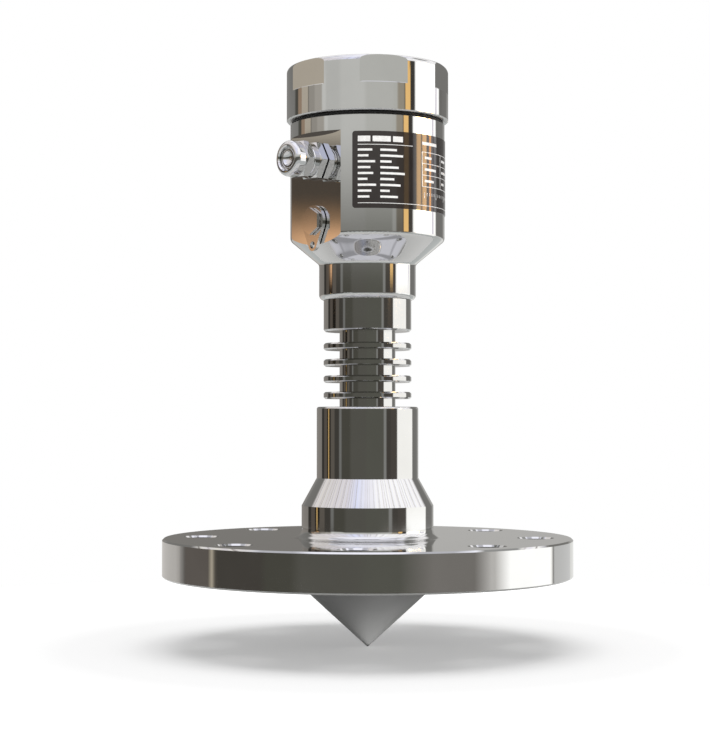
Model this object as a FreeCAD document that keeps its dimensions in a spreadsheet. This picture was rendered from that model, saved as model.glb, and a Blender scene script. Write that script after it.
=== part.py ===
import FreeCAD, Part
import math
import os
import re
import Sketcher
from FreeCAD import Placement, Rotation, Vector

# Radar level transmitter on a DN 100 flange, in millimetres. The origin is the centre of the bolt
# circle on the flange's lower face, +Z points up the neck, and the cable gland points along -X.
doc = FreeCAD.newDocument("RadarLevelTransmitter")

# Driving sizes. Heights are lengths of one piece or one step, never heights above the ground.
SIZES = [
    # Flange, hub and lower cylinder
    ("flange_thickness", 20.5),
    ("flange_chamfer", 0.9),
    ("bolt_circle_radius", 90),
    ("flange_margin", 20),
    ("bolt_hole_radius", 9),
    ("bolt_hole_count", 8),
    ("bolt_hole_chamfer", 1.0),
    ("stem_radius", 27.36),
    ("flare_width", 8.1),
    ("flare_height", 14.7),
    ("hub_height", 17.3),
    ("hub_fillet", 4.9),
    ("stem_height", 38.2),
    ("stem_round", 1.2),
    # Finned neck with the smaller collar and the journal that the housing turns on
    ("core_radius", 15.06),
    ("spigot_depth", 16),
    ("lowest_fin_height", 4.3),
    ("fin_reach", 8.59),
    ("fin_thickness", 3.65),
    ("fin_pitch", 8.76),
    ("fin_count", 4),
    ("fin_chamfer", 0.8),
    ("neck_height", 40.5),
    ("shoulder_radius", 23.63),
    ("shoulder_height", 16.9),
    ("shoulder_chamfer", 1.0),
    ("journal_radius", 19),
    ("journal_lip", 2.35),
    ("journal_chamfer", 0.8),
    ("swivel_groove_height", 4.5),
    ("swivel_groove_width", 2.6),
    ("swivel_groove_depth", 2),
    ("swivel_ring_section", 0.95),
    ("snap_groove_depth", 1.2),
    ("snap_ring_thickness", 1.3),
    ("snap_ring_overhang", 2.2),
    ("snap_ring_opening", 50),
    # Antenna, horn and waveguide
    ("lens_margin", 10.5),
    ("lens_thickness", 6),
    ("lens_edge_round", 0.6),
    ("cone_inset", 14.7),
    ("cone_depth", 31.9),
    ("tip_radius", 0.4),
    ("horn_radius", 31),
    ("horn_length", 36),
    ("horn_wall", 3),
    ("horn_throat_radius", 4.5),
    ("horn_seat_depth", 3),
    ("waveguide_wall", 1.6),
    ("waveguide_passage_gap", 1),
    ("waveguide_top_gap", 1.5),
    ("lens_groove_margin", 8.5),
    ("lens_groove_width", 2.6),
    ("lens_groove_depth", 1.9),
    ("lens_ring_section", 0.9),
    # Housing
    ("collar_overhang", 2.45),
    ("collar_height", 19.15),
    ("collar_round", 2.8),
    ("cup_cone_height", 12.93),
    ("cone_foot_round", 2.5),
    ("body_radius", 41.64),
    ("body_height", 62.62),
    ("body_round", 3),
    ("body_top_chamfer", 0.6),
    ("rim_step", 2.34),
    ("rim_height", 13),
    ("rim_chamfer", 0.8),
    ("cup_wall", 6.64),
    ("snap_seat_height", 13.05),
    ("snap_bore_margin", 1.3),
    ("snap_bore_height", 8.8),
    ("well_ledge", 1.5),
    ("well_height", 27),
    ("flat_depth", 5.14),
    ("flat_top_drop", 8.35),
    ("flat_wall", 5),
    ("flat_pad_width", 29),
    ("flat_pad_height", 40),
    # Cable gland, measured outward from the milled flat
    ("gland_drop", 22.95),
    ("gland_washer_thickness", 0.6),
    ("gland_washer_inset", 0.25),
    ("gland_across_flats", 18.5),
    ("gland_base_length", 4.2),
    ("gland_barrel_length", 8.4),
    ("gland_thread_radius", 7.6),
    ("gland_shank_radius", 7.9),
    ("gland_shank_length", 6.5),
    ("gland_bore_radius", 4.6),
    ("gland_seal_radius", 6.6),
    ("gland_seal_length", 9.9),
    ("gland_seal_depth", 6),
    ("gland_slip_ring_thickness", 0.8),
    ("slip_boss_radius", 5.3),
    ("slip_boss_height", 1.05),
    ("slip_boss_round", 0.3),
    ("gland_plug_radius", 4.45),
    ("gland_plug_length", 11.9),
    ("gland_plug_ball_radius", 4.95),
    ("gland_plug_ball_rise", 3.05),
    ("nut_gap", 4.1),
    ("nut_hex_length", 4.7),
    ("nut_collar_length", 1.2),
    ("nut_collar_inset", 0.35),
    ("nut_dome_overhang", 0.15),
    ("nut_dome_length", 5.5),
    ("nut_dome_round", 2.45),
    ("nut_mouth_radius", 6.85),
    ("nut_mouth_depth", 0.8),
    ("nut_throat_radius", 6.2),
    # Earth terminal, measured outward from the milled flat
    ("earth_rise", 7.87),
    ("lock_washer_thickness", 0.5),
    ("lock_washer_radius", 6.4),
    ("earth_tag_thickness", 1.85),
    ("earth_tag_radius", 8.5),
    ("earth_eye_distance", 12.4),
    ("earth_eye_radius", 3.2),
    ("earth_eye_hole_radius", 1.9),
    ("spring_washer_thickness", 0.35),
    ("spring_washer_radius", 6.2),
    ("earth_head_across_flats", 12.45),
    ("earth_head_height", 1.75),
    ("earth_shank_radius", 3.95),
    ("earth_shank_length", 11.3),
    ("earth_hole_depth", 10.5),
    # Lid
    ("lid_overhang", 2),
    ("lid_height", 29.2),
    ("lid_top_round", 3),
    ("lid_edge_chamfer", 0.6),
    ("lid_flat_height", 14.4),
    ("lid_flat_depth", 1.9),
    ("lid_flat_count", 6),
    ("lid_flat_chamfer", 0.4),
    ("lid_top_thickness", 5),
    ("lid_rim_clearance", 1.94),
    ("lid_wall", 7.64),
    ("lid_ring_section", 0.67),
    # Nameplate
    ("plate_drop", 9.4),
    ("plate_height", 40),
    ("plate_angle", 105),
    ("plate_thickness", 0.3),
    ("plate_corner", 1.5),
    # Electronics
    ("insert_margin", 4),
    ("insert_height", 9),
    ("insert_top_radius", 22),
    ("insert_top_height", 5),
    ("insert_edge_chamfer", 1),
    ("insert_screw_radius", 1.25),
    ("insert_screw_depth", 6),
    ("insert_screw_head_radius", 2.3),
    ("insert_screw_head_height", 2),
    ("module_length", 26.5),
    ("module_gap", 0.5),
    ("module_stem_radius", 4),
    ("module_stem_length", 8),
    ("block_length", 24),
    ("block_width", 10),
    ("block_height", 11),
    ("port_radius", 1.8),
    ("port_depth", 7),
    ("port_pitch", 5.6),
    ("port_count", 4),
    ("port_height", 3.4),
    ("block_offset", 9),
    ("block_screw_radius", 1.9),
    ("block_screw_length", 4),
    ("block_screw_inset", 3.4),
    # Clearances
    ("fit_gap", 0.05),
    ("swivel_gap", 0.05),
    ("seal_gap", 0.1),
    ("lens_gap", 0.3),
    ("thread_gap", 0.3),
    ("slip_gap", 0.15),
]

sheet = doc.addObject("Spreadsheet::Sheet", "Sizes")
for row, (alias, size) in enumerate(SIZES, 1):
    sheet.set("A%d" % row, alias)
    sheet.set("B%d" % row, str(size))
    sheet.setAlias("B%d" % row, alias)
doc.recompute()

ALIASES = re.compile(r"\b(" + "|".join(alias for alias, size in SIZES) + r")\b")


def sized(words):
    """Turn words such as 'hub_radius + fit_gap' into an expression on the sheet."""
    return ALIASES.sub(r"Sizes.\1", words)


# Heights above the flange's lower face, each the sum of the steps below it.
FLANGE_TOP = "flange_thickness"
HUB_TOP = FLANGE_TOP + " + hub_height"
STEM_BASE = HUB_TOP + " + flare_height"
STEM_TOP = STEM_BASE + " + stem_height"
SHOULDER_BASE = STEM_TOP + " + neck_height"
SHOULDER_TOP = SHOULDER_BASE + " + shoulder_height"
COLLAR_BASE = SHOULDER_TOP + " + swivel_gap"
SNAP_SEAT = COLLAR_BASE + " + snap_seat_height"
SNAP_FOOT = SNAP_SEAT + " + slip_gap"
JOURNAL_TOP = SNAP_FOOT + " + snap_ring_thickness + fit_gap + journal_lip"
WELL_FLOOR = SNAP_SEAT + " + snap_bore_height"
FLOOR = WELL_FLOOR + " + well_height"
CONE_BASE = COLLAR_BASE + " + collar_height"
BODY_BASE = CONE_BASE + " + cup_cone_height"
BODY_TOP = BODY_BASE + " + body_height"
RIM_TOP = BODY_TOP + " + rim_height"
FLAT_TOP = BODY_TOP + " - flat_top_drop"
GLAND_AXIS = BODY_TOP + " - gland_drop"
EARTH_AXIS = BODY_BASE + " + earth_rise"
LID_BASE = BODY_TOP + " + 2 * lid_ring_section + 2 * seal_gap"
LID_TOP = LID_BASE + " + lid_height"
INSERT_TOP = FLOOR + " + insert_height"
BLOCK_BASE = INSERT_TOP + " + insert_top_height"

# Radii and distances that follow from their neighbours, in brackets so that they can be negated
TUBE_RADIUS = "(horn_throat_radius + waveguide_wall)"
HORN_MOUTH = "(horn_radius - horn_wall)"
GROOVE_RADIUS = "(horn_radius + lens_groove_margin)"
LENS_RADIUS = "(horn_radius + lens_groove_margin + lens_margin)"
FLANGE_RADIUS = "(bolt_circle_radius + flange_margin)"
HUB_RADIUS = "(stem_radius + flare_width)"
FIN_RADIUS = "(core_radius + fin_reach)"
COLLAR_RADIUS = "(shoulder_radius + collar_overhang)"
SNAP_BORE = "(journal_radius + snap_ring_overhang + snap_bore_margin)"
WELL_RADIUS = "(journal_radius + snap_ring_overhang + snap_bore_margin + well_ledge)"
RIM_RADIUS = "(body_radius - rim_step)"
CAVITY_RADIUS = "(body_radius - cup_wall)"
SCREW_REACH = "((" + WELL_RADIUS + " + " + CAVITY_RADIUS + " - insert_margin) / 2)"
SIDE = "(body_radius - flat_depth)"
LID_RADIUS = "(body_radius + lid_overhang)"
LID_THREAD = "(body_radius - rim_step + thread_gap)"


def new_body(label):
    body = doc.addObject("PartDesign::Body", label)
    body.Label = label
    return body


def new_sketch(body, name, plane, offset=None):
    """A sketch on one of the body's own origin planes, moved along the plane's normal."""
    sketch = body.newObject("Sketcher::SketchObject", name)
    support = [part for part in body.Origin.OriginFeatures if part.Role == plane][0]
    sketch.AttachmentSupport = (support, [""])
    sketch.MapMode = "FlatFace"
    if offset is not None:
        sketch.setExpression("AttachmentOffset.Base.z", sized(offset))
    return sketch


def place_point(sketch, edge, end, across, up):
    """Fix one end of an edge at the two coordinates that the sheet gives."""
    for kind, words, axis in (("DistanceX", across, -2), ("DistanceY", up, -1)):
        if words == "0":
            sketch.addConstraint(Sketcher.Constraint("PointOnObject", edge, end, axis))
        else:
            rule = sketch.addConstraint(Sketcher.Constraint(kind, -1, 1, edge, end, 10.0))
            sketch.setExpression("Constraints[%d]" % rule, sized(words))


def draw_outline(sketch, corners):
    """A closed outline of straight lines. The solver moves it from a round start to its corners."""
    count = len(corners)
    turn = 2 * math.pi / count
    start = [Vector(60 + 50 * math.cos(turn * k), 50 * math.sin(turn * k), 0) for k in range(count)]
    first = len(sketch.Geometry)
    for k in range(count):
        sketch.addGeometry(Part.LineSegment(start[k], start[(k + 1) % count]), False)
    for k in range(count):
        following = first + (k + 1) % count
        sketch.addConstraint(Sketcher.Constraint("Coincident", first + k, 2, following, 1))
    for k, (across, up) in enumerate(corners):
        place_point(sketch, first + k, 1, across, up)


def draw_circle(sketch, radius, across="0", up="0"):
    circle = sketch.addGeometry(Part.Circle(Vector(1, 1, 0), Vector(0, 0, 1), 5), False)
    rule = sketch.addConstraint(Sketcher.Constraint("Radius", circle, 5.0))
    sketch.setExpression("Constraints[%d]" % rule, sized(radius))
    place_point(sketch, circle, 3, across, up)


def turned(label, corners):
    """A body turned about Z from its half section, given as radius and height."""
    body = new_body(label)
    sketch = new_sketch(body, label + "_section", "XZ_Plane")
    draw_outline(sketch, corners)
    add_turned(body, label + "_turned", sketch)
    return body


def add_turned(body, name, sketch, feature="PartDesign::Revolution"):
    turning = body.newObject(feature, name)
    turning.Profile = sketch
    turning.ReferenceAxis = (sketch, ["V_Axis"])
    turning.Angle = 360
    doc.recompute()
    return turning


def padded(body, name, sketch, length, reverse=False, midplane=False):
    pad = body.newObject("PartDesign::Pad", name)
    pad.Profile = sketch
    pad.setExpression("Length", sized(length))
    pad.Reversed = reverse
    if midplane:
        pad.SideType = "Symmetric"
    doc.recompute()
    return pad


def cut(body, name, sketch, depth, reverse=False, midplane=False):
    """A pocket that must take material away."""
    before = body.Shape.Volume
    pocket = body.newObject("PartDesign::Pocket", name)
    pocket.Profile = sketch
    pocket.setExpression("Length", sized(depth))
    pocket.Reversed = reverse
    if midplane:
        pocket.SideType = "Symmetric"
    doc.recompute()
    if body.Shape.Volume >= before - 0.01:
        raise RuntimeError(name + " takes nothing away")
    return pocket


def circular_edges(body, radius, height, reach=0.0, tolerance=0.02):
    """Names of the full or partial circles of this radius, at this height and reach from Z."""
    names = []
    for index, edge in enumerate(body.Shape.Edges, 1):
        curve = edge.Curve
        if not isinstance(curve, Part.Circle):
            continue
        centre = curve.Center
        if (abs(curve.Radius - radius) < tolerance and abs(centre.z - height) < tolerance
                and abs(math.hypot(centre.x, centre.y) - reach) < tolerance):
            names.append("Edge%d" % index)
    return names


def softened(body, name, kind, size, edges):
    """A Fillet or Chamfer of the named size on the given edges of the body's last feature."""
    if not edges:
        raise RuntimeError(name + " finds no edge")
    base = body.Tip
    feature = body.newObject("PartDesign::" + kind, name)
    feature.Base = (base, edges)
    feature.setExpression("Radius" if kind == "Fillet" else "Size", sized(size))
    doc.recompute()
    if "Invalid" in feature.State:
        raise RuntimeError(name + " fails")
    return feature


def level(words):
    """The present value of words such as HUB_TOP, for finding edges: plain sums and differences."""
    total = 0.0
    sign = 1.0
    for token in words.replace("(", "").replace(")", "").split(" "):
        if token in "+-":
            sign = 1.0 if token == "+" else -1.0
        elif token == "2":
            sign = 2 * sign
        elif token not in ("*", "0"):
            total += sign * sheet.get(token)
            sign = 1.0
    return total


def around(body, name, features, count):
    """The features repeated about Z, the given number of times."""
    pattern = body.newObject("PartDesign::PolarPattern", name)
    pattern.Originals = features
    pattern.Axis = (features[0].Profile[0], ["N_Axis"])
    pattern.Angle = 360
    pattern.setExpression("Occurrences", sized(count))
    body.Tip = pattern
    doc.recompute()
    return pattern


def face_outward(body, height):
    """Stand a piece that was drawn along Z on the milled flat, so that it points along -X."""
    body.Placement = Placement(Vector(0, 0, 0), Rotation(Vector(0, 1, 0), -90))
    body.setExpression("Placement.Base.x", sized("-" + SIDE))
    body.setExpression("Placement.Base.z", sized(height))


def hexagon(sketch, across_flats, corner_up):
    """Six corners about the origin: corners along the sketch's second axis, or its first."""
    half = across_flats + " / 2"
    far = across_flats + " / sqrt(3)"
    near = across_flats + " / sqrt(12)"
    ring = [("0", far), (half, near), (half, "-" + near), ("0", "-" + far), ("-" + half, "-" + near),
            ("-" + half, near)]
    if not corner_up:
        ring = [(up, across) for across, up in reversed(ring)]
    draw_outline(sketch, ring)


def crown(body, name, across_flats, face, inward):
    """Turn the corners of a hexagon down to a cone of 30 degrees at one of its end faces."""
    sketch = new_sketch(body, name + "_section", "XZ_Plane")
    inner = across_flats + " / 2"
    outer = across_flats + " * 0.65"
    drop = "(" + across_flats + " * 0.15) * tan(30)"
    if inward == "up":
        draw_outline(sketch, [(inner, face), (outer, face), (outer, face + " + " + drop)])
    else:
        draw_outline(sketch, [(inner, face), (outer, face + " - " + drop), (outer, face)])
    return add_turned(body, name, sketch, "PartDesign::Groove")


def process_flange():
    """Flange, hub, flare and stem: one turned piece, bored for the horn, waveguide and neck."""
    groove_in = GROOVE_RADIUS + " - lens_groove_width / 2"
    groove_out = GROOVE_RADIUS + " + lens_groove_width / 2"
    bore = "horn_radius + fit_gap"
    socket = "core_radius + fit_gap"
    passage = TUBE_RADIUS + " + waveguide_passage_gap"
    body = turned("process_flange", [
        (bore, "0"),
        (groove_in, "0"),
        (groove_in, "lens_groove_depth"),
        (groove_out, "lens_groove_depth"),
        (groove_out, "0"),
        (FLANGE_RADIUS, "0"),
        (FLANGE_RADIUS, FLANGE_TOP),
        (HUB_RADIUS, FLANGE_TOP),
        (HUB_RADIUS, HUB_TOP),
        ("stem_radius", STEM_BASE),
        ("stem_radius", STEM_TOP),
        (socket, STEM_TOP),
        (socket, STEM_TOP + " - spigot_depth"),
        (passage, STEM_TOP + " - spigot_depth"),
        (passage, "horn_length + fit_gap"),
        (bore, "horn_length + fit_gap"),
    ])
    rim = circular_edges(body, level(FLANGE_RADIUS), 0)
    rim += circular_edges(body, level(FLANGE_RADIUS), level(FLANGE_TOP))
    softened(body, "flange_edges", "Chamfer", "flange_chamfer", rim)
    foot = circular_edges(body, level(HUB_RADIUS), level(FLANGE_TOP))
    softened(body, "hub_foot", "Fillet", "hub_fillet", foot)
    shoulder = circular_edges(body, level("stem_radius"), level(STEM_TOP))
    softened(body, "stem_edge", "Fillet", "stem_round", shoulder)
    sketch = new_sketch(body, "bolt_hole_circle", "XY_Plane")
    draw_circle(sketch, "bolt_hole_radius", "bolt_circle_radius", "0")
    hole = cut(body, "bolt_hole", sketch, "2 * flange_thickness + 2 * hub_height", midplane=True)
    around(body, "bolt_holes", [hole], "bolt_hole_count")
    mouths = circular_edges(
        body, level("bolt_hole_radius"), level("flange_thickness"), level("bolt_circle_radius"))
    softened(body, "bolt_hole_edges", "Chamfer", "bolt_hole_chamfer", mouths)
    return body


def cooling_neck():
    """Neck with fins, shoulder and journal: turned as one piece, with a bore for the waveguide."""
    passage = TUBE_RADIUS + " + waveguide_passage_gap"
    groove = SHOULDER_TOP + " + swivel_groove_height"
    swivel_floor = "journal_radius - swivel_groove_depth"
    snap_floor = "journal_radius - snap_groove_depth"
    snap = SNAP_FOOT + " - fit_gap"
    body = turned("cooling_neck", [
        (passage, STEM_TOP + " - spigot_depth"),
        ("core_radius", STEM_TOP + " - spigot_depth"),
        ("core_radius", SHOULDER_BASE),
        ("shoulder_radius", SHOULDER_BASE),
        ("shoulder_radius", SHOULDER_TOP),
        ("journal_radius", SHOULDER_TOP),
        ("journal_radius", groove),
        (swivel_floor, groove),
        (swivel_floor, groove + " + swivel_groove_width"),
        ("journal_radius", groove + " + swivel_groove_width"),
        ("journal_radius", snap),
        (snap_floor, snap),
        (snap_floor, snap + " + snap_ring_thickness + 2 * fit_gap"),
        ("journal_radius", snap + " + snap_ring_thickness + 2 * fit_gap"),
        ("journal_radius", JOURNAL_TOP),
        (passage, JOURNAL_TOP),
    ])
    lower = circular_edges(body, level("shoulder_radius"), level(SHOULDER_BASE))
    softened(body, "shoulder_edge", "Chamfer", "shoulder_chamfer", lower)
    top = circular_edges(body, level("journal_radius"), level(JOURNAL_TOP))
    softened(body, "journal_edge", "Chamfer", "journal_chamfer", top)
    sketch = new_sketch(body, "fin_section", "XZ_Plane")
    low = STEM_TOP + " + lowest_fin_height"
    high = low + " + fin_thickness"
    draw_outline(sketch, [
        ("core_radius - fin_chamfer", low),
        (FIN_RADIUS + " - fin_chamfer", low),
        (FIN_RADIUS, low + " + fin_chamfer"),
        (FIN_RADIUS, high + " - fin_chamfer"),
        (FIN_RADIUS + " - fin_chamfer", high),
        ("core_radius - fin_chamfer", high),
    ])
    fin = add_turned(body, "fin", sketch)
    stack = body.newObject("PartDesign::LinearPattern", "fins")
    stack.Originals = [fin]
    stack.Direction = (sketch, ["V_Axis"])
    stack.setExpression("Length", sized("fin_pitch * (fin_count - 1)"))
    stack.setExpression("Occurrences", sized("fin_count"))
    body.Tip = stack
    doc.recompute()
    return body


def antenna_lens():
    """Moulded plastic lens: cone into the tank, facing disc, and a cone up into the horn."""
    body = turned("antenna_lens", [
        ("0", "-lens_thickness - cone_depth"),
        ("tip_radius", "-lens_thickness - cone_depth"),
        (LENS_RADIUS + " - cone_inset", "-lens_thickness"),
        (LENS_RADIUS, "-lens_thickness"),
        (LENS_RADIUS, "0"),
        (HORN_MOUTH + " - lens_gap", "0"),
        ("horn_throat_radius - lens_gap", "horn_length - horn_seat_depth"),
        ("0", "horn_length - horn_seat_depth"),
    ])
    edge = circular_edges(body, level(LENS_RADIUS), -level("lens_thickness"))
    softened(body, "lens_edge", "Fillet", "lens_edge_round", edge)
    return body


def antenna_horn():
    """Turned metal horn in the hub: a cone from the waveguide to the mouth, with a seat on top."""
    seat = TUBE_RADIUS + " + fit_gap"
    return turned("antenna_horn", [
        (HORN_MOUTH, "0"),
        ("horn_radius", "0"),
        ("horn_radius", "horn_length"),
        (seat, "horn_length"),
        (seat, "horn_length - horn_seat_depth"),
        ("horn_throat_radius", "horn_length - horn_seat_depth"),
    ])


def waveguide_tube():
    """Drawn tube that carries the signal from the radar module to the horn."""
    foot = "horn_length - horn_seat_depth"
    top = JOURNAL_TOP + " + waveguide_top_gap"
    return turned("waveguide_tube", [
        ("horn_throat_radius", foot),
        (TUBE_RADIUS, foot),
        (TUBE_RADIUS, top),
        ("horn_throat_radius", top),
    ])


def o_ring(label, radius, section, height):
    """A moulded rubber ring of round section, lying flat about Z."""
    ring = doc.addObject("Part::Torus", label)
    ring.Label = label
    ring.setExpression("Radius1", sized(radius))
    ring.setExpression("Radius2", sized(section))
    ring.setExpression("Placement.Base.z", sized(height))
    return ring


def retaining_ring():
    """Snap ring in the journal's groove, open over a part of its turn."""
    body = new_body("retaining_ring")
    sketch = new_sketch(body, "snap_ring_section", "XZ_Plane")
    low = SNAP_FOOT
    inner = "journal_radius - snap_groove_depth + fit_gap"
    outer = "journal_radius + snap_ring_overhang"
    draw_outline(sketch, [
        (inner, low),
        (outer, low),
        (outer, low + " + snap_ring_thickness"),
        (inner, low + " + snap_ring_thickness"),
    ])
    ring = add_turned(body, "snap_ring", sketch)
    ring.setExpression("Angle", sized("360 - snap_ring_opening"))
    return body


def housing():
    """Stainless cup: collar, cone and body in one, with a milled flat and a threaded rim."""
    body = turned("housing", [
        ("journal_radius + fit_gap", COLLAR_BASE),
        (COLLAR_RADIUS, COLLAR_BASE),
        (COLLAR_RADIUS, CONE_BASE),
        ("body_radius", BODY_BASE),
        ("body_radius", BODY_TOP),
        (RIM_RADIUS, BODY_TOP),
        (RIM_RADIUS, RIM_TOP),
        (CAVITY_RADIUS, RIM_TOP),
        (CAVITY_RADIUS, FLOOR),
        (WELL_RADIUS, FLOOR),
        (WELL_RADIUS, WELL_FLOOR),
        (SNAP_BORE, WELL_FLOOR),
        (SNAP_BORE, SNAP_SEAT),
        ("journal_radius + fit_gap", SNAP_SEAT),
    ])

    # Milled flat, from its step down through the cone
    flat_sketch = new_sketch(body, "flat_outline", "XZ_Plane")
    draw_outline(flat_sketch, [
        ("-" + SIDE, CONE_BASE),
        ("-" + SIDE, FLAT_TOP),
        ("-body_radius - body_round", FLAT_TOP),
        ("-body_radius - body_round", CONE_BASE),
    ])
    cut(body, "milled_flat", flat_sketch, "2 * body_radius + 2 * body_round", midplane=True)

    edge = circular_edges(body, level(COLLAR_RADIUS), level(COLLAR_BASE))
    softened(body, "collar_edge", "Fillet", "collar_round", edge)
    edge = circular_edges(body, level(COLLAR_RADIUS), level(CONE_BASE))
    softened(body, "cone_foot", "Fillet", "cone_foot_round", edge)
    edge = circular_edges(body, level("body_radius"), level(BODY_BASE))
    softened(body, "body_corner", "Fillet", "body_round", edge)
    edge = circular_edges(body, level("body_radius"), level(BODY_TOP))
    softened(body, "body_edge", "Chamfer", "body_top_chamfer", edge)
    edge = circular_edges(body, level(RIM_RADIUS), level(RIM_TOP))
    softened(body, "rim_edge", "Chamfer", "rim_chamfer", edge)

    # Inside pad that keeps a full wall behind the milled flat
    pad_sketch = new_sketch(body, "pad_outline", "XZ_Plane")
    draw_outline(pad_sketch, [
        ("-" + SIDE + " + fit_gap", FLOOR + " - fit_gap"),
        ("-" + SIDE + " + flat_wall", FLOOR + " - fit_gap"),
        ("-" + SIDE + " + flat_wall", FLOOR + " + flat_pad_height"),
        ("-" + SIDE + " + fit_gap", FLOOR + " + flat_pad_height"),
    ])
    padded(body, "flat_pad", pad_sketch, "flat_pad_width", midplane=True)

    # Gland hole and tapped earth hole in the flat, screw holes in the floor
    gland_sketch = new_sketch(body, "gland_hole_circle", "YZ_Plane", "-" + SIDE)
    draw_circle(gland_sketch, "gland_shank_radius + fit_gap", "0", GLAND_AXIS)
    cut(body, "gland_hole", gland_sketch, "flat_wall + 2 * fit_gap", reverse=True)
    earth_sketch = new_sketch(body, "earth_hole_circle", "YZ_Plane", "-" + SIDE)
    draw_circle(earth_sketch, "earth_shank_radius + fit_gap", "0", EARTH_AXIS)
    cut(body, "earth_hole", earth_sketch, "earth_hole_depth", reverse=True)
    screw_sketch = new_sketch(body, "floor_hole_circles", "XY_Plane", FLOOR)
    for side in (SCREW_REACH, "-" + SCREW_REACH):
        draw_circle(screw_sketch, "insert_screw_radius + fit_gap", "0", side)
    cut(body, "floor_holes", screw_sketch, "insert_screw_depth + fit_gap")
    return body


def nameplate():
    """Thin curved plate on the side that faces -Y, with rounded corners."""
    body = new_body("nameplate")
    sketch = new_sketch(body, "plate_section", "XZ_Plane")
    top = BODY_TOP + " - plate_drop"
    inner = "body_radius + fit_gap"
    outer = "body_radius + fit_gap + plate_thickness"
    draw_outline(sketch, [
        (inner, top + " - plate_height"),
        (outer, top + " - plate_height"),
        (outer, top),
        (inner, top),
    ])
    plate = add_turned(body, "plate", sketch)
    plate.setExpression("Angle", sized("plate_angle"))
    plate.Midplane = True
    doc.recompute()
    corners = []
    for index, edge in enumerate(body.Shape.Edges, 1):
        straight = isinstance(edge.Curve, Part.Line)
        if straight and abs(edge.Length - level("plate_thickness")) < 0.001:
            corners.append("Edge%d" % index)
    softened(body, "plate_corners", "Fillet", "plate_corner", corners)
    body.Placement = Placement(Vector(0, 0, 0), Rotation(Vector(0, 0, 1), -90))
    return body


def electronics_insert():
    """Potted electronics module on the housing's floor, with a raised top and two screw holes."""
    body = turned("electronics_insert", [
        ("0", FLOOR),
        (CAVITY_RADIUS + " - insert_margin", FLOOR),
        (CAVITY_RADIUS + " - insert_margin", INSERT_TOP),
        ("insert_top_radius", INSERT_TOP),
        ("insert_top_radius", BLOCK_BASE),
        ("0", BLOCK_BASE),
    ])
    edges = circular_edges(
        body, level(CAVITY_RADIUS + " - insert_margin"), level(INSERT_TOP))
    edges += circular_edges(body, level("insert_top_radius"), level(BLOCK_BASE))
    softened(body, "insert_edges", "Chamfer", "insert_edge_chamfer", edges)
    sketch = new_sketch(body, "insert_hole_circles", "XY_Plane", INSERT_TOP)
    for side in (SCREW_REACH, "-" + SCREW_REACH):
        draw_circle(sketch, "insert_screw_radius + fit_gap", "0", side)
    cut(body, "insert_holes", sketch, "insert_height")
    return body


def insert_screws():
    """Two pan-head screws that hold the electronics module down."""
    body = new_body("insert_screws")
    shank_length = "insert_screw_depth + insert_height"
    shank = new_sketch(body, "shank_circles", "XY_Plane", FLOOR + " - insert_screw_depth")
    head = new_sketch(body, "head_circles", "XY_Plane", INSERT_TOP)
    for side in (SCREW_REACH, "-" + SCREW_REACH):
        draw_circle(shank, "insert_screw_radius", "0", side)
        draw_circle(head, "insert_screw_head_radius", "0", side)
    body.AllowCompound = True
    padded(body, "shanks", shank, shank_length)
    padded(body, "heads", head, "insert_screw_head_height")
    return body


def rf_module():
    """Round radar module in the well, with a stem that couples into the waveguide."""
    low = WELL_FLOOR + " + fit_gap"
    high = low + " + module_length"
    return turned("rf_module", [
        ("0", low + " - module_stem_length"),
        ("module_stem_radius", low + " - module_stem_length"),
        ("module_stem_radius", low),
        (WELL_RADIUS + " - module_gap", low),
        (WELL_RADIUS + " - module_gap", high),
        ("0", high),
    ])


def terminal_block():
    """Moulded terminal block: wire ports face the gland, screw wells open upward."""
    body = new_body("terminal_block")
    outline = new_sketch(body, "block_outline", "XY_Plane", BLOCK_BASE)
    near = "block_offset"
    far = "block_offset + block_width"
    half = "block_length / 2"
    draw_outline(outline, [(near, "-" + half), (far, "-" + half), (far, half), (near, half)])
    padded(body, "block", outline, "block_height")
    ports = new_sketch(body, "port_circle", "YZ_Plane", "block_offset")
    first = "-port_pitch * (port_count - 1) / 2"
    draw_circle(ports, "port_radius", first, BLOCK_BASE + " + port_height")
    port = cut(body, "port", ports, "port_depth", reverse=True)
    wells = new_sketch(body, "well_circle", "XY_Plane", BLOCK_BASE + " + block_height")
    draw_circle(wells, "block_screw_radius + fit_gap", "block_offset + block_screw_inset", first)
    well = cut(body, "well", wells, "block_screw_length + 2 * fit_gap")
    row = body.newObject("PartDesign::LinearPattern", "ports_and_wells")
    row.Originals = [port, well]
    row.Direction = (ports, ["H_Axis"])
    row.setExpression("Length", sized("port_pitch * (port_count - 1)"))
    row.setExpression("Occurrences", sized("port_count"))
    body.Tip = row
    doc.recompute()
    return body


def terminal_screws():
    """Four clamping screws, one in each well of the terminal block."""
    body = new_body("terminal_screws")
    body.AllowCompound = True
    base = BLOCK_BASE + " + block_height - block_screw_length - fit_gap"
    circle = new_sketch(body, "screw_circle", "XY_Plane", base)
    first = "-port_pitch * (port_count - 1) / 2"
    draw_circle(circle, "block_screw_radius", "block_offset + block_screw_inset", first)
    screw = padded(body, "screw", circle, "block_screw_length")
    row = body.newObject("PartDesign::LinearPattern", "screws")
    row.Originals = [screw]
    row.Direction = (circle, ["V_Axis"])
    row.setExpression("Length", sized("port_pitch * (port_count - 1)"))
    row.setExpression("Occurrences", sized("port_count"))
    body.Tip = row
    doc.recompute()
    return body


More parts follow.
